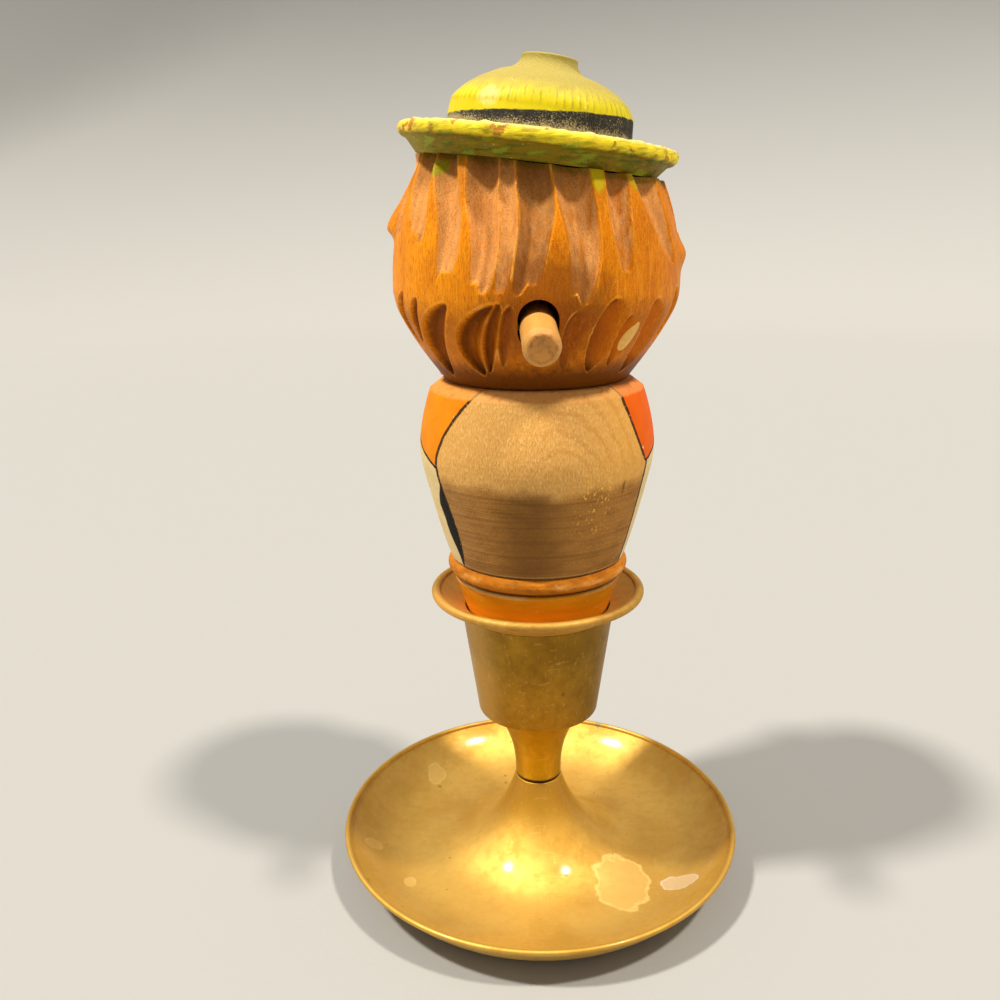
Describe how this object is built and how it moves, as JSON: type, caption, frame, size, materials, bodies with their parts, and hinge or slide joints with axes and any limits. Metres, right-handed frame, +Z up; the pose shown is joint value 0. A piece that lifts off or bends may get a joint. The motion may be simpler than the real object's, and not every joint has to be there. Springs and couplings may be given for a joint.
{
  "type": "mechanical bottle stopper",
  "caption": "Carved wooden figure on a cork whose jaw opens when the lever peg behind its head is lifted, standing in the cup of a brass pedestal with a dished foot.",
  "frame": {"origin": "on the table under the axis of the brass foot", "axes": "+Z up along the axis, +Y the way the face looks, -Y the way the lever peg points, +X to the right when the back of the head is seen"},
  "size_m": [0.0688, 0.0688, 0.132],
  "materials": {
    "brass": "satin, aged",
    "steel": "plain",
    "cork": "raw cork",
    "bare_wood": "turned, bare",
    "stained_wood": "orange stain, worn",
    "hair_wood": "carved, orange-brown stain",
    "hat_paint": "yellow and green paint, dusty",
    "skin_paint": "flesh paint"
  },
  "bodies": {
    "stand": {"saucer_base": "brass", "stem_cone": "brass", "cup": "brass", "drip_flange": "brass", "tie_screw": "steel", "tie_washer": "steel", "tie_nut": "steel"},
    "stopper": {"cork": "cork", "cork_dowel": "bare_wood", "collar": "stained_wood", "torso": "bare_wood", "neck_dowel": "bare_wood", "head": "hair_wood", "pivot_pin": "bare_wood", "hat_dowel": "bare_wood", "hat": "hat_paint"},
    "jaw": {"jaw": "skin_paint", "lever_peg": "bare_wood"}
  },
  "joints": [
    {"name": "stopper_lift", "type": "slide", "parent": "stand", "child": "stopper", "axis": [0, 0, 1], "range_m": [0, 0.035]},
    {"name": "jaw_hinge", "type": "hinge", "parent": "stopper", "child": "jaw", "pos_m": [0, -0.015, 0.0947], "axis": [-1, 0, 0], "range_deg": [0, 8]}
  ]
}
